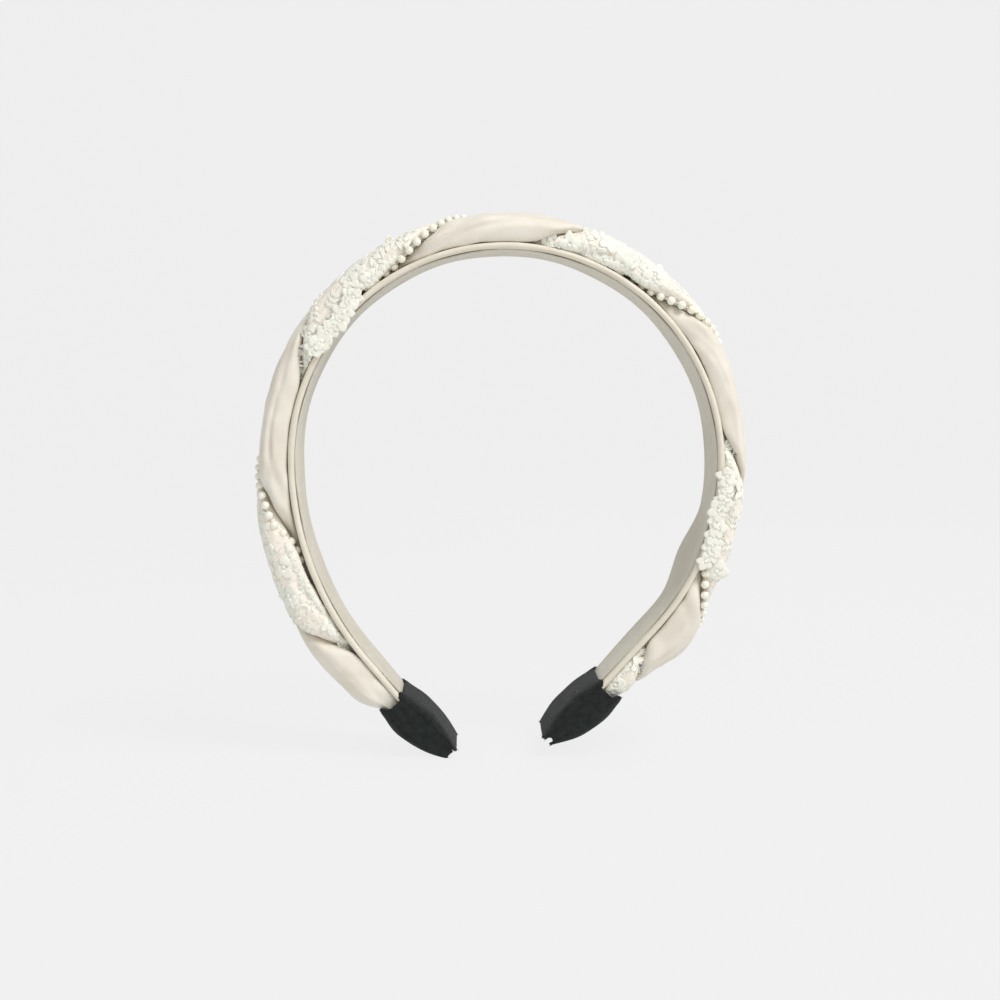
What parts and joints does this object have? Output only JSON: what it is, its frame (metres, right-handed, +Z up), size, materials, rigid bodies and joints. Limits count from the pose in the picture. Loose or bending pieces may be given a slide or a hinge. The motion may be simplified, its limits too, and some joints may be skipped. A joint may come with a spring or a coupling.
{
  "type": "headband",
  "caption": "C-shaped hair band lined with ribbon, its outer side a padded plait of satin, lace and a pearl string, with black fabric sleeves on both ends.",
  "frame": {"origin": "under the middle of the band, level with the lower tip, as it would stand on its two tips", "axes": "+Z up from the tips through the crown, +X to the right seen from the front, +Y to the back along the band's width"},
  "size_m": [0.151, 0.0288, 0.1657],
  "materials": {
    "core_plastic": "matte",
    "ribbon_satin": "satin",
    "lining_satin": "satin",
    "plait_satin": "satin",
    "lace": "matte",
    "backing_cloth": "matte",
    "wadding": "matte",
    "pearl": "pearlescent",
    "thread": "matte",
    "black_fabric": "matte"
  },
  "bodies": {
    "root": {"core_band": "core_plastic", "band_cover": "ribbon_satin", "inner_lining": "lining_satin", "satin_strand_cover": "plait_satin", "satin_strand_filling": "wadding", "lace_strand_lace": "lace", "lace_strand_backing": "backing_cloth", "lace_strand_filling": "wadding", "pearl_beads": "pearl", "pearl_thread": "thread", "left_end_sleeve": "black_fabric", "right_end_sleeve": "black_fabric", "left_end_binding": "thread", "right_end_binding": "thread"}
  },
  "joints": []
}
